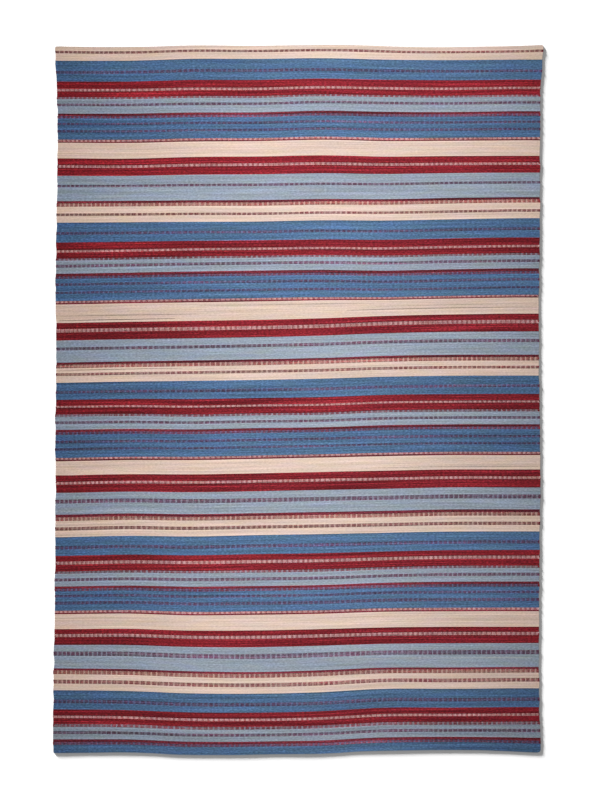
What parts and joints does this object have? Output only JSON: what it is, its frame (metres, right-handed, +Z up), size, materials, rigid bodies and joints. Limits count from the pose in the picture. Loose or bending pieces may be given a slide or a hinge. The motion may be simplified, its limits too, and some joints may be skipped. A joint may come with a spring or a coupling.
{
  "type": "kilim",
  "caption": "Flat-woven wool rug with cross stripes and rows of short dashes, plain selvedges and turned ends, spread flat.",
  "frame": {"origin": "middle of the rug's outline, on the underside that rests on the floor", "axes": "+Y along the warps towards the picture's top end, +X along the wefts towards the picture's right selvedge, +Z up out of the face"},
  "size_m": [2.0586, 2.9838, 0.003],
  "materials": {
    "wool": "matt weft-faced flat weave in wool, striped cream, blue, red and grey-blue"
  },
  "bodies": {
    "root": {"kilim": "wool"}
  },
  "joints": []
}
